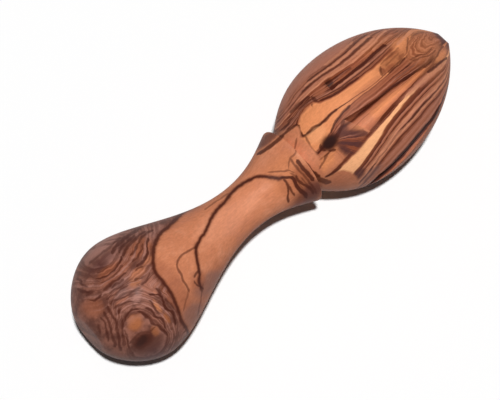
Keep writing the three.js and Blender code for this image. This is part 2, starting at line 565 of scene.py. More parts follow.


# Drawn figure, in millimetres: along is from the butt end, across is up the drawn side.
# Lines round a centre: the centre, then points (degrees from the butt's side, radius).
BULB_VEIN = (45, 0), [
    (-180, 40), (-70, 36), (-45, 28.3), (-38, 26.7), (-33, 24.4), (-26, 22), (-18, 20.2), (-6, 19.1),
    (6.6, 19.1), (14.4, 18.1), (27.7, 16.4), (41.7, 14.7), (57.8, 13.1), (80.8, 11.2), (111, 12.4),
    (180, 30),
]
WAIST_VEIN = (62, -12), [
    (-180, 24), (-60, 27), (2.5, 25), (11, 23.1), (21.5, 22.3), (32.5, 21.4), (42.3, 19.4), (63.7, 17.1),
    (90, 17.2), (108, 19.3), (120, 21.2), (129, 22.7), (136, 23.6), (142, 23.6), (149, 23.8), (154, 24.8),
    (161, 26), (167, 25), (180, 24),
]
# Swirls in the bulb: the centre, then the core's radius and the gap between rings, by degrees.
SWIRL = (
    (10, -12.6),
    [(-180, 6.2), (-160, 7.2), (-145, 8.2), (-90, 6), (-30, 4.6), (0, 4.5), (40, 5.2), (64, 8.2), (90, 8.6),
     (116, 7.9), (136, 6.6), (160, 5.9), (180, 6.2)],
    [(-180, 1.7), (-160, 1.3), (-148, 1.1), (-90, 1), (0, 1), (64, 0.85), (90, 1.8), (116, 1.9),
     (136, 1.85), (180, 1.7)],
)
NEST = (
    (17, 17.5),
    [(-180, 9), (-170, 7.5), (-157, 5.5), (-135, 4.2), (-90, 3.5), (-42, 4), (-12, 4.6), (40, 4.5),
     (130, 4), (180, 9)],
    [(-180, 4.5), (-157, 3.4), (-135, 3.1), (-90, 2.5), (-42, 3.3), (0, 3.6), (90, 2.4), (180, 4.5)],
)
# Soft patches: tone, strength, centre and half sizes.
GROUND_PATCHES = [
    # The first patch is a painted sheen along the top of the waist.
    ("blush", 0.6, (59, 0), (14, 5)),
    ("red", 0.6, (28, -5), (4, 12)),
    ("grey", 0.6, (29, -17), (6, 3.6)),
    ("grey", 0.6, (41, -12.5), (8, 3)),
    ("russet", 0.4, (37.5, -9), (3.5, 3)),
    ("honey", 0.7, (86, -1), (7, 7)),
    ("russet", 0.35, (86, 0), (7, 8)),
    ("red", 0.4, (84, -5), (3, 4)),
    ("russet", 0.65, (89.6, -5), (4, 4.4)),
    ("brown", 0.8, (88.5, -11.4), (6.5, 3.4)),
    ("purple", 0.6, (90.4, -11), (3.6, 3.4)),
    ("red", 0.35, (99.4, -15.4), (4, 3.4)),
    ("purple", 0.8, (90.5, 12.6), (5, 2)),
    ("umber", 0.6, (98, 13), (4, 2.4)),
]
BULB_PATCHES = [
    ("red", 0.6, (4, 6.3), (2.8, 3.6)),
    ("amber", 1.0, (10.6, -6.6), (2.6, 2.5)),
    ("umber", 0.9, (9, -16), (9, 4.6)),
    ("purple", 0.9, (7, -20.4), (11, 4.4)),
    ("umber", 0.7, (0.5, -14), (3, 6)),
    ("dark", 0.8, (9.8, -13), (4.2, 2.9)),
    ("ink", 0.7, (9.6, -12.8), (2.2, 1.5)),
    ("amber", 0.7, (14.6, -12.8), (1.5, 2)),
    ("honey", 0.6, (19.3, -7), (0.8, 2.4)),
    ("amber", 0.8, (19.8, -12.3), (1, 2)),
    ("mauve", 0.9, (22.6, -0.4), (1.7, 1.1)),
    ("pink", 0.8, (21.4, -3.3), (0.7, 1)),
    ("mauve", 0.9, (15.6, -0.6), (2.4, 1.3)),
    ("pink", 0.5, (11.5, 1.8), (2.6, 0.9)),
    ("grey", 0.8, (17.6, 0.4), (1.5, 1.6)),
    ("grey", 0.7, (12.6, 3.6), (2.6, 1.4)),
    ("grey", 0.5, (13.5, 6.8), (3.6, 1.2)),
    ("dark", 0.8, (8.5, -0.3), (1.2, 0.9)),
    ("tan", 0.6, (21.3, 5.6), (3.6, 1.6)),
    ("tan", 0.6, (27.5, 6.6), (3, 1.2)),
    ("amber", 0.7, (18.5, 3.6), (2, 1.6)),
    ("red", 0.6, (24.3, -7), (0.9, 5)),
    ("red", 0.8, (15.5, 12.7), (4.6, 1.1)),
    ("purple", 0.75, (16, 15.7), (5.4, 2)),
    ("mauve", 0.35, (20, 14.6), (4, 2.6)),
    ("purple", 0.3, (26, 16.6), (8, 1.2)),
    ("grey", 0.6, (19, 19.4), (7, 2)),
    ("mauve", 0.8, (21, 20), (8, 2)),
    ("red", 0.7, (31, 10.8), (3.6, 0.9)),
    ("red", 0.8, (28.6, 11.6), (6, 3.4)),
    ("mauve", 0.6, (37, 11), (5, 3.4)),
    ("pink", 0.5, (21, -0.6), (4, 2.4)),
    ("red", 0.5, (16, 10.4), (6, 2.4)),
    ("dark", 0.6, (6.4, 10.6), (1.4, 0.8)),
]
HEAD_PATCHES = [
    ("purple", 0.85, (105.8, -16.8), (2.4, 1.6)),
    ("grey", 0.5, (110, -19.4), (4.5, 1.4)),
    ("red", 0.7, (112, 13.6), (2.6, 1.4)),
    ("red", 0.5, (124, 3.4), (10, 2.4)),
    # Painted light on the shaded wall at the end of the flute near the knot's fan.
    ("red", 0.7, (113, 0.4), (4, 1.3)),
    ("pink", 0.5, (116.6, -5), (4, 3)),
    ("purple", 0.6, (108.4, -1.6), (2.2, 1.6)),
    ("brown", 0.7, (111.5, -7.6), (2.6, 1.6)),
    ("pink", 0.85, (146, -6.1), (16, 1.2)),
    ("tan", 0.6, (158, -2.6), (5, 1.6)),
    ("amber", 0.45, (141, -3.4), (7, 1.2)),
    ("tan", 0.6, (155, -0.4), (5, 1.2)),
    ("honey", 0.5, (146, 9.4), (4, 1.6)),
    ("tan", 0.8, (102.6, -7.4), (1.7, 2)),
    ("ink", 0.8, (116.6, 13.8), (2, 1.6)),
    ("amber", 0.9, (138.6, 6.2), (7.4, 2.4)),
    ("brown", 0.7, (132.4, 5.4), (1.2, 1.7)),
    ("russet", 0.7, (135.4, 4.8), (3, 0.8)),
    ("russet", 0.6, (140, 7.8), (4, 0.6)),
    ("brown", 0.6, (142.4, 5.2), (2.4, 0.7)),
    ("honey", 0.7, (157, -3.7), (5, 1.2)),
    ("pale", 0.3, (101.5, 3), (3.4, 3)),
    # The last three patches are painted light, lifting the head towards the tip where it turns from the key
    # light.
    ("honey", 0.15, (153, 0), (10, 16)),
    ("honey", 0.2, (139, 14.5), (8, 4)),
    ("honey", 0.2, (147, 9.5), (6, 3)),
]
# Drawn lines: half width, strength, points (along, across).
BULB_LINES = [
    (0.45, 0.8, [(12.8, -3.6), (13.9, -5.4), (14.6, -8), (15, -10.5), (16, -12.5), (16.8, -15),
                 (17.2, -17.5)]),
    (0.45, 0.85, [(15, -4.4), (16.3, -5.6), (16.9, -7.5), (17, -9.5), (18.3, -11.5), (18.2, -13),
                  (17.2, -15)]),
    (0.3, 0.7, [(17.3, -3.4), (18.5, -5), (18.3, -7), (18.4, -9), (19, -10.4)]),
    (0.5, 0.9, [(19.4, -1.8), (20.6, -3.5), (22.3, -5), (22, -7), (21.2, -8.7), (21.8, -10.5),
                (22.5, -12), (22, -14), (21, -16.5)]),
    (0.4, 0.8, [(21.6, -1.6), (22.8, -3), (22.8, -4.5), (22.2, -5.6)]),
    (0.35, 0.6, [(23.4, -6), (23, -8), (23.6, -10), (23.3, -12)]),
    (0.4, 0.5, [(5.4, -11.2), (6.5, -10.6), (8, -10.3), (10, -10.4), (11.6, -11), (12.8, -12.4),
                (13.6, -14.4)]),
    (0.3, 0.6, [(12.3, -11.6), (14, -11.9), (15.5, -11.7)]),
    (0.35, 0.75, [(7.6, -5), (8.6, -3.6), (10, -2.8), (11.6, -2.5), (13, -3.2), (14.6, -4.6)]),
    (0.35, 0.7, [(8, 1.6), (10, 1.2), (12, 0.6), (13.6, -0.4), (15, -2), (16.2, -3.6)]),
    (0.35, 0.65, [(7.4, 3.1), (9, 3.7), (11, 3), (13.4, 2.2), (16, 2), (18, 1.4), (19.4, -0.6)]),
    (0.3, 0.6, [(8, 5.2), (9.6, 5.4), (11.5, 4.6), (14, 4.8), (16.5, 3.8)]),
    (0.35, 0.6, [(2.2, 1.6), (1.4, -0.6), (0.8, -2.6)]),
    (0.35, 0.7, [(3.5, 3), (3.7, 0.5), (2.8, -2), (1.9, -4.6), (1.5, -6.4)]),
    (0.4, 0.75, [(5.5, 3.6), (5.2, 1), (4.3, -2), (3.4, -4.6), (2.7, -7), (2.4, -9.4)]),
    (0.45, 0.75, [(7.5, 4.4), (6.8, 2), (6.4, -1), (5.4, -4), (4.2, -7), (3.4, -9.4), (3.1, -11.4)]),
    (0.4, 0.7, [(8.4, -2.4), (7.2, -4.6), (5.8, -7), (4.9, -9.2), (4.4, -11.4)]),
    (0.35, 0.6, [(7, -5.6), (6.4, -8), (5.6, -10.4), (5.4, -12.6)]),
    (0.4, 0.75, [(9, 8.8), (11, 8.2), (13, 8.5), (15, 8.2), (17, 8.5), (19, 8)]),
    (0.35, 0.7, [(11, 7.1), (13, 7.4), (15, 6.9), (17, 7.2)]),
    (0.3, 0.6, [(9.6, 6.2), (12, 6.4), (14, 5.8), (16, 6.1)]),
    (0.45, 0.85, [(21.5, 7.6), (25, 7.6), (27.5, 8.1), (29.5, 9.5), (31.5, 11.4), (34, 12.8)]),
    (0.3, 0.7, [(20.6, 6.6), (23, 6.6), (24.8, 5.6)]),
    (0.3, 0.6, [(18, 3.4), (19.6, 4.2), (21, 3.4), (22.6, 4)]),
    (0.35, 0.6, [(19, 2.4), (21, 1.6), (23, 2.3), (25, 3.6)]),
    (0.35, 0.85, [(10.2, 15), (10.8, 13), (12.5, 11.8), (15, 11.3), (18, 11.5), (20, 12.2),
                  (22, 13.4)]),
    (0.3, 0.6, [(11.4, 16), (12.2, 14.2), (14, 13.3), (16.5, 13.2)]),
    (0.35, 0.65, [(9.4, 19), (9.4, 16.5), (8.6, 14.5), (9.2, 12.2), (11, 10.6), (13.5, 10), (17, 10.2),
                  (20, 10.8)]),
    (0.4, 0.7, [(8, 18), (7.8, 16), (7.2, 14), (7.4, 12)]),
    (0.4, 0.75, [(6, 15), (5.6, 13), (6, 11.4), (7, 10.3)]),
    (0.45, 0.8, [(4.4, 10.4), (4.9, 8.8), (6, 7.7), (7.6, 7.6), (9, 8.2)]),
    (0.6, 0.75, [(19.6, 15.4), (23, 16.8), (27, 17.2), (31, 17.1), (36, 16.6)]),
    (0.4, 0.75, [(21.4, 14.3), (24.5, 15.4), (28.5, 15.8), (32, 16.2)]),
    (0.45, 0.75, [(21, 12.6), (23.5, 13.6), (27, 14.6), (31, 15), (36, 14.6)]),
    (0.4, 0.75, [(23, 11.4), (26, 12), (29, 13), (32.5, 14), (38, 13.4)]),
    (0.35, 0.7, [(22, 9.6), (25, 9.8), (28, 10.8), (31, 12.6)]),
    (0.4, 0.6, [(13, 17.8), (17, 18.3), (22, 18.2), (28, 18.3)]),
]
HANDLE_LINES = [
    (0.4, 0.65, [(32.6, -3), (33.6, -1.4), (35, 0), (37, 0.6), (40, 0.5), (43.6, -0.2), (45.2, -0.8)]),
    (0.45, 0.65, [(35.6, 0.6), (34, -0.8), (33.2, -2.2), (33, -4), (32.3, -6), (32.3, -8),
                  (31.7, -11)]),
    (0.4, 0.5, [(39, -11.2), (37, -12.6), (34.8, -14.8), (32.6, -17), (30.5, -19)]),
    (0.4, 0.45, [(32.6, -9.4), (29.6, -11.4), (27.6, -12.8), (25.8, -14.6)]),
    (0.4, 0.75, [(35.8, -8), (37, -7.4), (38.5, -7), (40, -7)]),
    (0.4, 0.75, [(35.9, -8), (35.7, -9.3), (36.3, -10.8), (37.2, -11.9), (37.6, -13.6)]),
    (0.3, 0.5, [(56, 7.7), (61, 7.6), (64.5, 7), (68.2, 6.9)]),
    (0.45, 0.85, [(83.8, -1), (84.1, -3), (83.9, -4.5), (83.1, -6), (82, -7.5), (81.7, -9.6)]),
    (0.4, 0.8, [(84, -4.2), (84.1, -6.5), (84.2, -9)]),
    (0.65, 0.95, [(83.4, 0), (85.3, -2.2), (86.4, -3.1), (86.7, -4.3), (86.3, -6), (86.6, -8),
                  (87.5, -10), (88, -12)]),
    (0.4, 0.6, [(81, 4), (82.5, 3), (85, 1), (87, -0.5), (87.6, -1.5), (88.6, -2.7)]),
    (0.5, 0.85, [(88.5, -2.8), (87.6, -4.3), (87.8, -6), (88.9, -8.2), (90, -10.5), (90.4, -12.5)]),
    (0.35, 0.55, [(86.6, -1), (88.5, 1.5), (90, 2.6), (91.5, 2.6), (93, 3.3), (95, 4.8), (97.4, 7)]),
    (0.4, 0.65, [(89.9, 3.4), (89.6, 0), (89.7, -3), (90, -5.5), (90.3, -8), (90.7, -10),
                 (91.3, -13)]),
    (0.65, 0.9, [(91.2, 1.4), (90.9, -1.4), (91, -3.4), (91.3, -6), (91.9, -9)]),
    (0.3, 0.5, [(86.2, -0.6), (87.2, -2.6), (87.5, -4.6), (87.3, -6.6), (87.9, -9)]),
    (0.3, 0.55, [(88.8, -4.2), (89.1, -7), (89.7, -9.6), (90.2, -12.4)]),
    (0.35, 0.6, [(101.2, -4.2), (99.2, -5.1), (97.6, -5.8), (95.4, -6.9)]),
    # The next two lines lie in the step just past the collar's rim: dark grain and painted shade.
    (0.55, 0.9, [(93.3, 0.3), (93.8, -2.5), (93.9, -5), (94.6, -7), (95.4, -9.4)]),
    (0.7, 0.8, [(93.8, -7), (95.3, -9.8), (96.6, -11.6), (98, -13.4)]),
    (0.35, 0.8, [(96, -9.2), (97.6, -10.3), (100, -10.8), (102.5, -10.8)]),
    (0.65, 0.9, [(84, 10.9), (87, 10.3), (89, 10.1), (91, 10), (93.6, 10.1), (96, 10.2)]),
    (0.45, 0.85, [(92.6, 10.1), (95, 10.3), (97, 10.2), (100.4, 10)]),
]
HEAD_LINES = [
    (0.7, 0.95, [(100, 10.3), (99, 8.6), (98.2, 7.1), (98.3, 6.3), (99.2, 5.5)]),
    (0.45, 0.8, [(98.8, 5.6), (100.4, 5.5), (102, 5.6), (104, 5), (106, 4.8), (109, 5.3), (112, 5.2)]),
    (0.35, 0.65, [(99, 5.6), (98, 2), (97.7, 0.5), (99, -2.4)]),
    (0.5, 0.8, [(101.8, 0.3), (100.6, 0), (99.9, -1.2), (100, -2.6), (100.8, -3.6)]),
    (0.5, 0.85, [(100.6, -3.6), (102, -4.5), (103.4, -5.2)]),
    (0.3, 0.65, [(101.4, -4.5), (100, -4.3), (98.8, -4.8), (98.3, -6)]),
    (0.45, 0.85, [(104.3, -0.2), (106, 1), (108, 2), (112, 3), (116, 3.4)]),
    (0.55, 0.8, [(100.6, 14.4), (104, 14.7), (107, 14.8), (109.2, 14.6)]),
    (0.35, 0.7, [(102.6, 13.4), (106, 13.7), (109, 13.4)]),
    (0.5, 0.75, [(109.4, 14.6), (108.8, 13), (109, 11)]),
    (0.25, 0.7, [(106.5, 11.2), (106.9, 11.8), (107.4, 12)]),
    (0.3, 0.6, [(96.8, 11.4), (98.4, 11.8), (99.6, 12.8), (101, 12.6)]),
    # Dark line along the lower lip of the flute high on the drawn side: partly dark grain, partly painted
    # shade inside the flute.
    (0.6, 0.95, [(115, 12.2), (120, 11.9), (125, 11.7), (130, 11.7), (135, 11.9), (140, 12),
                 (142.6, 11.6)]),
    (0.45, 0.85, [(109, 11.4), (112, 10.4), (115, 9.7), (120, 9.2), (125, 8.9)]),
    (0.55, 0.6, [(131, 3.6), (131.5, 5.2), (132.4, 6.4), (133.4, 7.8)]),
    (0.3, 0.45, [(133, 7.4), (137, 7.9), (141, 8), (145, 8.4)]),
    (0.3, 0.4, [(134, 6.2), (138, 6.4), (143, 6.8)]),
    (0.4, 0.5, [(151.4, 9), (148.6, 7.4), (146, 5.8), (144.6, 4.4)]),
    (0.6, 0.7, [(104.8, -2.4), (106.4, -1.7), (108.4, -0.6), (110, 0.5), (111.4, 1)]),
    (0.45, 0.7, [(108, 17.2), (114, 17.6), (120, 17), (127, 16.6), (134, 16.9), (142, 17)]),
    (0.4, 0.65, [(112, 19.2), (120, 18.8), (128, 18.6), (136, 19), (142, 18.4)]),
    (0.35, 0.6, [(116, 14.2), (121, 13.6), (127, 13.2)]),
    (0.45, 0.7, [(133, 3.8), (138, 4), (143.6, 4.2)]),
    (0.4, 0.45, [(152, 8.6), (154, 8.4), (156, 8), (158, 7.4), (160, 6.3)]),
    (0.3, 0.55, [(143, 2.6), (148, 1.6), (152, 0.4), (156, 1)]),
    (0.3, 0.55, [(144, 1.4), (149, 0.4), (153, -0.8), (157, -0.6)]),
    (0.4, 0.75, [(146, -2.6), (149, -3), (152, -2.9), (155, -2.5), (158, -1.8), (162, -1.4)]),
    (0.45, 0.85, [(146, -4.9), (150, -5.1), (155, -5.2), (160, -5.5)]),
]
HEAD_SMEARS = [
    (1.0, 0.7, [(104.6, -3), (105.3, -5.5), (105.6, -7.5), (105.6, -9.6)]),
    (1.2, 0.75, [(105.4, -1.6), (108, -2.6), (110, -4.2), (112.2, -6), (114.6, -7.8)]),
]
HEAD_LIGHTS = [
    (0.35, 0.7, [(127, 14.5), (132, 14.6), (140, 15), (146, 15.6), (149, 15.2)]),
    (0.3, 0.45, [(115.5, 11.2), (120, 11), (125, 10.8), (132, 10.6)]),
    (0.5, 0.6, [(144, 9.2), (150, 9.6), (154, 9.6), (158, 8.4)]),
    (0.3, 0.4, [(104, 15.7), (110, 16.4), (118, 16.3), (124, 16)]),
    (0.35, 0.5, [(108, -17), (112, -17.2), (116, -16.2), (122, -14.8), (130, -14.2)]),
    (0.4, 0.5, [(136, 13.2), (142, 13.4), (148, 13)]),
    (0.4, 0.7, [(110, 18.3), (118, 18), (127, 17.6), (134, 17.9), (142, 17.8)]),
    (0.4, 0.6, [(118, 16), (126, 15.5), (134, 15.7), (142, 16)]),
    (0.35, 0.6, [(120, 19.7), (128, 19.6), (136, 20)]),
]
# Guides that the head's stripes follow, from the bottom up: points (along, across).
LOW_GUIDES = [
    [(92, -27), (104, -24.2), (108, -23), (112, -23), (116, -23.1), (120, -22.7), (125, -22),
     (130, -20.9), (140, -19.3), (145, -17.6), (150, -15.3), (155, -13), (160, -9), (168, -3)],
    [(92, -24), (104, -20.8), (108, -19.9), (112, -18.6), (120, -16.4), (125, -15.5), (130, -14.9),
     (140, -13.6), (150, -12.6), (155, -10.8), (160, -7.4), (168, -2.2)],
    [(92, -19), (104, -15.4), (108, -14.4), (112, -13.2), (116, -11.8), (120, -10.3), (125, -8.9),
     (130, -7.9), (135, -7.2), (140, -6.8), (150, -6.6), (155, -6.9), (160, -5.6), (168, -1.8)],
    [(92, -9), (98, -10.6), (100, -10.9), (104, -10.5), (112, -9.4), (120, -8.4), (125, -7.7),
     (130, -7), (135, -6.2), (140, -5.6), (145, -5.3), (155, -5.5), (160, -4.6), (168, -1.4)],
    [(92, -8.4), (98, -10), (104, -9.2), (112, -8.1), (120, -6.7), (130, -5.3), (140, -4.3),
     (145, -3.7), (150, -3.4), (155, -2.7), (160, -2.1), (168, -1)],
    [(92, -1.8), (104, -1.6), (108, -1), (116, -1), (125, -1.2), (130, -1.3), (135, -1.6), (140, -2),
     (145, -2.6), (148, -2.9), (155, -1.9), (160, -1), (168, -0.5)],
]
HIGH_GUIDES = [
    LOW_GUIDES[-1],
    [(92, -1.6), (101, -1), (104, 0.3), (106, 1), (108, 1.9), (112, 3.1), (116, 3.5), (120, 3.6),
     (125, 3.2), (130, 3.3), (135, 3.7), (142, 4.2), (146, 5), (150, 7.6), (153, 8.4), (157, 7.7),
     (160, 6.2), (168, 0.2)],
    [(92, 6.6), (97, 6.4), (99, 5.6), (105, 5), (108, 5.2), (112, 5.1), (116, 4.7), (120, 4.3),
     (125, 3.7), (130, 3.8), (135, 4.2), (142, 4.7), (146, 5.5), (150, 8.1), (153, 8.9), (157, 8.2),
     (160, 6.7), (168, 0.6)],
    [(92, 9.3), (98, 9.6), (101, 10.8), (104, 12.3), (107, 12.6), (109, 11), (112, 10), (116, 9),
     (125, 8.5), (135, 8.6), (140, 8.8), (145, 9.3), (150, 9.8), (155, 10.4), (158, 9.3), (168, 1)],
    [(92, 11.5), (100, 12.5), (108, 13.5), (112, 12.8), (115, 12.3), (120, 11.9), (130, 11.7),
     (140, 11.9), (150, 11.9), (155, 11.5), (160, 8.8), (168, 1.6)],
    [(92, 12.5), (100, 14), (108, 15.3), (116, 15.6), (120, 15.2), (125, 14.6), (130, 14.2),
     (135, 14.3), (140, 14.7), (147, 15.6), (150, 15), (155, 13), (168, 2)],
    [(92, 15), (104, 18.5), (108, 20), (112, 20.6), (120, 20.3), (130, 20.6), (138, 21), (145, 19),
     (150, 16.5), (155, 13.8), (168, 2.6)],
]
# Tones of the stripes: how many guides up, and the tone there.
LOW_STRIPES = [
    # From 0.07 to 0.26 the dark and ink are painted shadow under the upper lip of the flute along the
    # lowest guide.
    (0.0, "red"), (0.07, "dark"), (0.11, "ink"), (0.26, "ink"), (0.32, "pink"), (0.42, "pink"),
    (0.5, "red"), (0.7, "pink"), (0.86, "russet"), (0.94, "dark"), (1.0, "russet"), (1.1, "blush"),
    (1.19, "dark"), (1.27, "pink"), (1.345, "blush"), (1.42, "blush"), (1.48, "russet"), (1.55, "dark"),
    (1.62, "red"), (1.7, "pink"), (1.77, "brown"), (1.86, "brown"), (1.94, "russet"), (2.03, "pale"),
    (2.88, "pale"), (3.0, "russet"), (3.15, "brown"), (3.8, "brown"), (4.08, "tan"), (4.4, "honey"),
    (4.92, "red"), (5.0, "dark"),
]
HIGH_STRIPES = [
    # From 0 to 0.16 the dark is partly grain and partly painted shade on the wall of the flute along this
    # first guide.
    (0.0, "dark"), (0.16, "dark"), (0.27, "russet"), (0.38, "pink"), (0.47, "russet"), (0.56, "brown"),
    (0.66, "red"), (0.78, "russet"), (0.88, "red"), (0.97, "brown"), (1.06, "honey"), (1.86, "honey"),
    (2.0, "dark"), (2.09, "honey"), (2.88, "honey"), (3.0, "russet"), (3.2, "brown"), (3.34, "red"),
    (3.47, "dark"), (3.62, "pink"), (3.8, "dark"), (4.05, "brown"), (4.2, "red"), (4.75, "russet"),
    (4.93, "russet"), (5.04, "blush"), (5.14, "red"), (5.26, "pink"), (5.36, "russet"), (5.5, "pink"),
    (5.68, "red"), (6.0, "pink"),
]
HEAD_EDGE = [(-24, 107), (-16, 104.6), (-11.3, 100.6), (-10.2, 96.5), (-2, 97.8), (2, 97.8), (6, 97.9),
             (9.5, 99.4), (10.6, 97), (12, 96), (14, 95), (24, 95)]
HEAD_SPAN = 92, 168  # along, where the guides start and end
# Patches with a figure or a knot of their own: centre, half sizes and strength.
CURL_PATCH = (152.5, 3.6), (9, 5), 0.95
CURL_CENTRE = 161.0, 3.4, 0.0
TIP_PATCH = (164.4, 2), (2.6, 3.4), 0.9
FAN_PATCH = (108, -6.2), (5.2, 4.2), 1.0
FAN_CENTRE = 102.0, -1.0
KNOT_EDGE = (103, -1.8), (3.4, 2.6), 0.9
KNOT_HEART = (103, -1.9), (2.8, 2.1), 1.0
STREAKY = {"tan": 0.1, "honey": 0.08, "pale": 0.05, "blush": 0.4, "pink": 0.6}  # the other tones: 1


def wood_place(figure):
    """Millimetres along, across and into the wood."""
    turn = WOOD_TURN @ Matrix.Rotation(FIGURE_TURN, 3, "X")
    inputs = {
        "Vector": figure.add("TexCoord", {}, output="Object"),
        "Location": BUTT_PLACE,
        "Rotation": turn.to_euler(),
        "Scale": (MM, MM, MM),
    }
    return figure.add("Mapping", inputs, vector_type="TEXTURE")


def patched(f, paint, now, where, patches):
    for tone, strength, centre, half_sizes in patches:
        now = f.mix(f.patch(where, centre, half_sizes, strength), now, paint[tone])
    return now


def handle_ground(f, paint, bent):
    """Plain wood of the handle and the head's root, redder towards the lower side, partly as painted shade,
    with soft patches on the drawn side, one of them a painted sheen on the waist.
    """
    across = f.split(bent)[1]
    mottle = f.noise(bent, (0.09, 0.16, 0.12), 4.0, 0.6)
    ground = f.mix(f.ease(mottle, 0.45, 0.68, 0.0, 0.7), paint["tan"], paint["blush"])
    ground = f.mix(f.ease(mottle, 0.5, 0.3, 0.0, 0.5), ground, paint["pink"])
    # Redder and darker towards the lower side: partly the wood's own tone, partly painted shade where the
    # handle turns down from the light.
    ground = f.mix(f.ease(across, -6.5, -12.0, 0.0, 0.45), ground, paint["red"])
    soft = f.sway(bent, (0.2, 0.2, 0.1), 2.0, 2.0)
    front = f.ease(f.split(bent)[2], -6.0, 0.0)
    return f.mix(front, ground, patched(f, paint, ground, soft, GROUND_PATCHES))


def bulb_figure(f, paint, place, bent):
    """Two swirls with patches and jagged lines."""
    jagged = f.sway(bent, (0.42, 0.42, 0.15), 1.2, 1.5)
    swirl = f.rings(jagged, *SWIRL)
    nest = f.rings(jagged, *NEST)
    rings = f.math("ADD", f.both(swirl, f.ease(swirl, 5.8, 4.6)), f.both(nest, f.ease(swirl, 4.6, 5.8)))
    lumps = f.noise(place, (0.2, 0.25, 0.15), 4.0, 0.6)
    bulb = f.mix(f.ease(lumps, 0.35, 0.65), paint["umber"], paint["clay"])
    bulb = patched(f, paint, bulb, f.sway(bent, (0.4, 0.4, 0.12), 1.6, 3.0), BULB_PATCHES)
    thin = f.layers(rings, 1.9, 1.0)
    outside = f.both(f.ease(rings, -0.4, 0.2), f.ease(f.split(bent)[0], 2.0, 7.0))
    patchy = f.both(f.ease(lumps, 0.3, 0.6), outside)
    bulb = f.mix(f.both(f.ease(thin, 0.52, 0.64, 0.0, 0.5), patchy), bulb, paint["dark"])
    bulb = f.mix(f.both(f.ease(thin, 0.5, 0.36, 0.0, 0.6), patchy), bulb, paint["mauve"])
    finest = f.layers(rings, 5.0, 1.0)
    bulb = f.mix(f.both(f.ease(finest, 0.54, 0.64, 0.0, 0.4), patchy), bulb, paint["dark"])
    return f.mix(f.drawn(jagged, bent, BULB_LINES), bulb, paint["dark"])


def head_figure(f, paint, place, bent, fine):
    """Stripes between the guides, with a curly patch by the tip and a fan by the knot. Some stripes and
    lines carry painted shade by the flutes, and some patches carry painted light towards the tip and on a
    shaded flute wall.
    """
    grain = f.sway(f.sway(bent, (0.06, 0.5, 0.2), 0.8, 2.0), (0.3, 0.9, 0.4), 0.5)
    along, across, _ = f.split(grain)
    guide_scale = f.scale(along, *HEAD_SPAN)

    def stripes_between(guides, stripes):
        lines = [f.curve(guide_scale, points) for points in guides]
        band = 0.0
        for low, high in pairwise(lines):
            band = f.math("ADD", band, f.span(across, low, high))
        stops = [(place, (*paint[tone][:3], STREAKY.get(tone, 1.0))) for place, tone in stripes]
        return band, *f.ramp(band, stops)

    low_band, low_stripes, low_busy = stripes_between(LOW_GUIDES, LOW_STRIPES)
    high_band, high_stripes, high_busy = stripes_between(HIGH_GUIDES, HIGH_STRIPES)
    upper = f.ease(high_band, 0.0, 0.02)
    head = f.mix(upper, low_stripes, high_stripes)
    busy = f.math("ADD", f.both(high_busy, upper), f.both(low_busy, f.ease(high_band, 0.02, 0.0)))
    broken = f.both(busy, f.ease(f.noise(place, (0.06, 0.4, 0.2), 2.0), 0.3, 0.6))
    behind = f.math("MINIMUM", f.split(grain)[2], 0.0)
    thin = f.layers(f.math("MULTIPLY_ADD", behind, 0.4, f.math("ADD", low_band, high_band)), 5.5)
    head = f.mix(f.both(f.ease(thin, 0.5, 0.6, 0.0, 0.9), broken), head, paint["dark"])
    head = f.mix(f.both(f.ease(thin, 0.46, 0.36, 0.0, 0.6), broken), head, paint["pink"])

    soft = f.sway(bent, (0.3, 0.45, 0.12), 1.2, 3.0)
    head = patched(f, paint, head, soft, HEAD_PATCHES)
    curled = f.sway(bent, (0.25, 0.35, 0.1), 4.0, 2.0)
    middle = f.vector("MULTIPLY", f.vector("SUBTRACT", curled, CURL_CENTRE), (0.3, 1.0, 0.0))
    curl = f.layers(f.vector("LENGTH", middle, output="Value"), 1.9, 1.0)
    curls = f.mix(f.ease(curl, 0.5, 0.64, 0.0, 0.7), paint["amber"], paint["russet"])
    curls = f.mix(f.ease(curl, 0.54, 0.4, 0.0, 0.75), curls, paint["tan"])
    head = f.mix(f.patch(soft, *CURL_PATCH), head, curls)
    head = f.mix(f.patch(soft, *TIP_PATCH), head, paint["purple"])
    soft_along, soft_across, _ = f.split(soft)
    right = f.math("SUBTRACT", soft_along, FAN_CENTRE[0])
    down = f.math("SUBTRACT", FAN_CENTRE[1], soft_across)
    rays = f.layers(f.math("ARCTAN2", right, down), 7.0)
    fan = f.mix(f.ease(rays, 0.44, 0.6), paint["purple"], paint["russet"])
    fan = f.mix(f.ease(rays, 0.58, 0.7, 0.0, 0.6), fan, paint["mauve"])
    head = f.mix(f.patch(soft, *FAN_PATCH), head, fan)
    head = f.mix(f.drawn(soft, bent, HEAD_SMEARS, 0.7), head, paint["purple"])
    head = f.mix(f.drawn(fine, bent, HEAD_LIGHTS), head, paint["blush"])
    return f.mix(f.drawn(fine, bent, HEAD_LINES), head, paint["dark"])


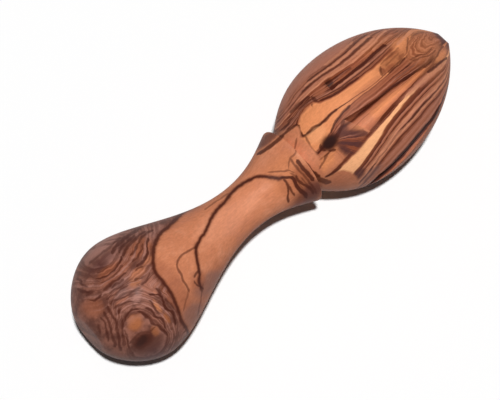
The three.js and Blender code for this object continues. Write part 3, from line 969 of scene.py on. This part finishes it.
def olive_wood(colours):
    """Solid olive wood: plain ground, drawn veins, swirls in the bulb and stripes in the head, with light
    and shade painted in at places.
    """
    material = bpy.data.materials.new("olive_wood")
    material.use_nodes = True
    f = Figure(material.node_tree)
    paint = {name: (*getattr(colours, name), 1) for name in colours.__annotations__}
    place = wood_place(f)
    depth = f.split(place)[2]
    bent = f.sway(place, (0.045, 0.07, 0.05), f.ease(depth, 2.0, -10.0, 0.6, 7.0))
    fine = f.sway(bent, (0.5, 0.5, 0.2), 0.7, 2.0)
    along, across, _ = f.split(fine)

    now = handle_ground(f, paint, bent)
    bulb_edge = f.round_line(fine, *BULB_VEIN)
    near_bulb = f.ease(along, 58.0, 50.0)
    in_bulb = f.both(f.ease(bulb_edge, -0.2, 0.2), near_bulb)
    now = f.mix(in_bulb, now, bulb_figure(f, paint, place, bent))
    head_edge = f.math("SUBTRACT", along, f.curve(f.scale(across, -24, 24), HEAD_EDGE))
    on_head = f.both(f.ease(head_edge, -0.6, 0.6), f.ease(along, 92.9, 93.1))
    now = f.mix(on_head, now, head_figure(f, paint, place, bent, fine))

    # Veins of the handle, lines at the collar with painted shade in the step past its rim, and the knot
    now = f.mix(f.both(f.stroke(bulb_edge, 0.9, 0.7), near_bulb, 0.6), now, paint["brown"])
    now = f.mix(f.both(f.stroke(bulb_edge, 0.55, 0.35), near_bulb, 0.9), now, paint["dark"])
    waist_line = f.round_line(fine, *WAIST_VEIN)
    on_waist = f.both(f.ease(along, 85.0, 84.0), f.ease(across, -14.0, -11.5))
    now = f.mix(f.both(f.stroke(waist_line, 0.8, 0.6), on_waist, 0.6), now, paint["brown"])
    now = f.mix(f.both(f.stroke(waist_line, 0.5, 0.35), on_waist, 0.95), now, paint["dark"])
    now = f.mix(f.drawn(fine, bent, HANDLE_LINES), now, paint["dark"])
    now = f.mix(f.patch(fine, *KNOT_EDGE), now, paint["dark"])
    now = f.mix(f.patch(fine, *KNOT_HEART), now, paint["ink"])

    # Fibres, pores and specks
    fibre = f.noise(place, (0.12, 1.6, 1.6), 4.0, 0.6)
    speck = f.noise(place, (0.7, 1.2, 1.2), 3.0, 0.7)
    level = f.both(f.span(fibre, 0.25, 0.75, 1.1, 0.9), f.span(speck, 0.25, 0.75, 1.1, 0.9))
    now = f.add("HueSaturation", {"Color": now, "Value": level})

    bump = f.add("Bump", {"Strength": 0.2, "Distance": 0.0002, "Height": fibre})
    rough = f.span(fibre, 0.2, 0.8, 0.44, 0.58)
    shader = f.add("BsdfPrincipled", {
        "Base Color": now, "Roughness": rough, "Normal": bump, "Specular IOR Level": 0.1,
    })
    output = f.tree.nodes.new("ShaderNodeOutputMaterial")
    f.feed(output.inputs["Surface"], shader)
    return material


# Stage


def when_seen(tree, socket, bounced, seen):
    """Feeds a socket one level where the camera or a reflection sees it and another for bounced light."""
    path = tree.nodes.new("ShaderNodeLightPath")
    either = path.outputs["Is Camera Ray"]
    for ray in ("Is Glossy Ray", "Is Transmission Ray"):
        node = tree.nodes.new("ShaderNodeMath")
        node.operation = "MAXIMUM"
        tree.links.new(either, node.inputs[0])
        tree.links.new(path.outputs[ray], node.inputs[1])
        either = node.outputs[0]
    level = tree.nodes.new("ShaderNodeMapRange")
    tree.links.new(either, level.inputs["Value"])
    level.inputs["To Min"].default_value = bounced
    level.inputs["To Max"].default_value = seen
    tree.links.new(level.outputs[0], socket)


# Operators


class REAMER_OT_wood(bpy.types.Operator):
    """Turn the reamer, carve its flutes and finish it as olive wood"""

    bl_idname = "reamer.wood"
    bl_label = "Turn and carve the wood"

    def execute(self, context):
        sizes = context.scene.reamer_sizes
        outline = turned_outline(sizes)
        wood = mesh_object("reamer_wood", turn_blank(sizes, outline))
        cutters = bmesh.new()
        for flute in range(len(sizes.flute_turns)):
            add_flute_cutter(cutters, sizes, outline, flute)
        bmesh.ops.recalc_face_normals(cutters, faces=cutters.faces)
        carve(wood, mesh_object("flute_cutters", cutters))
        wood.data.transform(Matrix.Translation(BUTT_PLACE) @ WOOD_TURN.to_4x4())
        wood.data.shade_smooth()
        wood.data.set_sharp_from_angle(angle=sizes.sharp_angle)
        wood.data.materials.clear()
        wood.data.materials.append(olive_wood(context.scene.olive_wood))
        if not wood.data.polygons:
            raise RuntimeError("the carved wood has no faces")
        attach(wood, "root")
        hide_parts("reamer")
        return {"FINISHED"}


class REAMER_OT_stage(bpy.types.Operator):
    """Set up the pale floor, the soft studio light and the camera"""

    bl_idname = "reamer.stage"
    bl_label = "Set the stage"

    def execute(self, context):
        studio = context.scene.reamer_studio
        floor = bmesh.new()
        bmesh.ops.create_grid(floor, x_segments=1, y_segments=1, size=studio.floor_size)
        floor = mesh_object("floor", floor)
        pale = bpy.data.materials.new("studio_floor")
        pale.use_nodes = True
        shader = pale.node_tree.nodes["Principled BSDF"]
        when_seen(pale.node_tree, shader.inputs["Base Color"], studio.floor_bounce, studio.floor)
        shader.inputs["Roughness"].default_value = FLOOR_ROUGHNESS
        shader.inputs["Specular IOR Level"].default_value = 0.0
        floor.data.materials.append(pale)

        world = bpy.data.worlds.new("studio")
        context.scene.world = world
        world.use_nodes = True
        sky = world.node_tree.nodes["Background"]
        when_seen(world.node_tree, sky.inputs["Strength"], studio.fill, 1.0)
        sky.inputs["Color"].default_value = (1, 1, 1, 1)

        back = WOOD_TURN @ CAMERA_BACK
        right = WOOD_TURN @ CAMERA_RIGHT
        up = back.cross(right)
        lens = bpy.data.cameras.new("camera")
        lens.sensor_fit = "HORIZONTAL"
        lens.sensor_width = SENSOR_WIDTH
        lens.lens = studio.lens
        lens.shift_x, lens.shift_y = studio.shift
        camera = bpy.data.objects.new("camera", lens)
        context.scene.collection.objects.link(camera)
        aim = BUTT_PLACE + WOOD_AXIS * studio.aim
        turn = Matrix((right, up, back)).transposed().to_4x4()
        camera.matrix_world = Matrix.Translation(aim + back * studio.distance) @ turn
        context.scene.camera = camera

        key = bpy.data.lights.new("key", "SUN")
        key.energy = studio.key_power
        key.angle = studio.key_softness
        lamp = bpy.data.objects.new("key", key)
        context.scene.collection.objects.link(lamp)
        behind = Vector((*back.xy, 0)).normalized()
        level = behind * math.cos(studio.key_side) + right * math.sin(studio.key_side)
        towards = level * math.cos(studio.key_height)
        towards.z = math.sin(studio.key_height)
        lamp.rotation_euler = towards.to_track_quat("Z", "Y").to_euler()
        context.scene.view_settings.view_transform = "Standard"
        return {"FINISHED"}


class REAMER_PT_panel(bpy.types.Panel):
    """Steps that make the reamer"""

    bl_idname = "REAMER_PT_panel"
    bl_label = "Reamer"
    bl_space_type = "VIEW_3D"
    bl_region_type = "UI"
    bl_category = "Reamer"

    def draw(self, context):
        self.layout.operator("reamer.wood")
        self.layout.operator("reamer.stage")


CLASSES = (
    ReamerSizes,
    OliveWoodColours,
    StudioSettings,
    REAMER_OT_wood,
    REAMER_OT_stage,
    REAMER_PT_panel,
)


def register():
    for each in CLASSES:
        bpy.utils.register_class(each)
    bpy.types.Scene.reamer_sizes = PointerProperty(type=ReamerSizes)
    bpy.types.Scene.olive_wood = PointerProperty(type=OliveWoodColours)
    bpy.types.Scene.reamer_studio = PointerProperty(type=StudioSettings)


def unregister():
    del bpy.types.Scene.reamer_studio
    del bpy.types.Scene.olive_wood
    del bpy.types.Scene.reamer_sizes
    for each in reversed(CLASSES):
        bpy.utils.unregister_class(each)


def main():
    register()
    bpy.ops.reamer.wood()
    bpy.ops.reamer.stage()


if __name__ == "__main__":
    main()
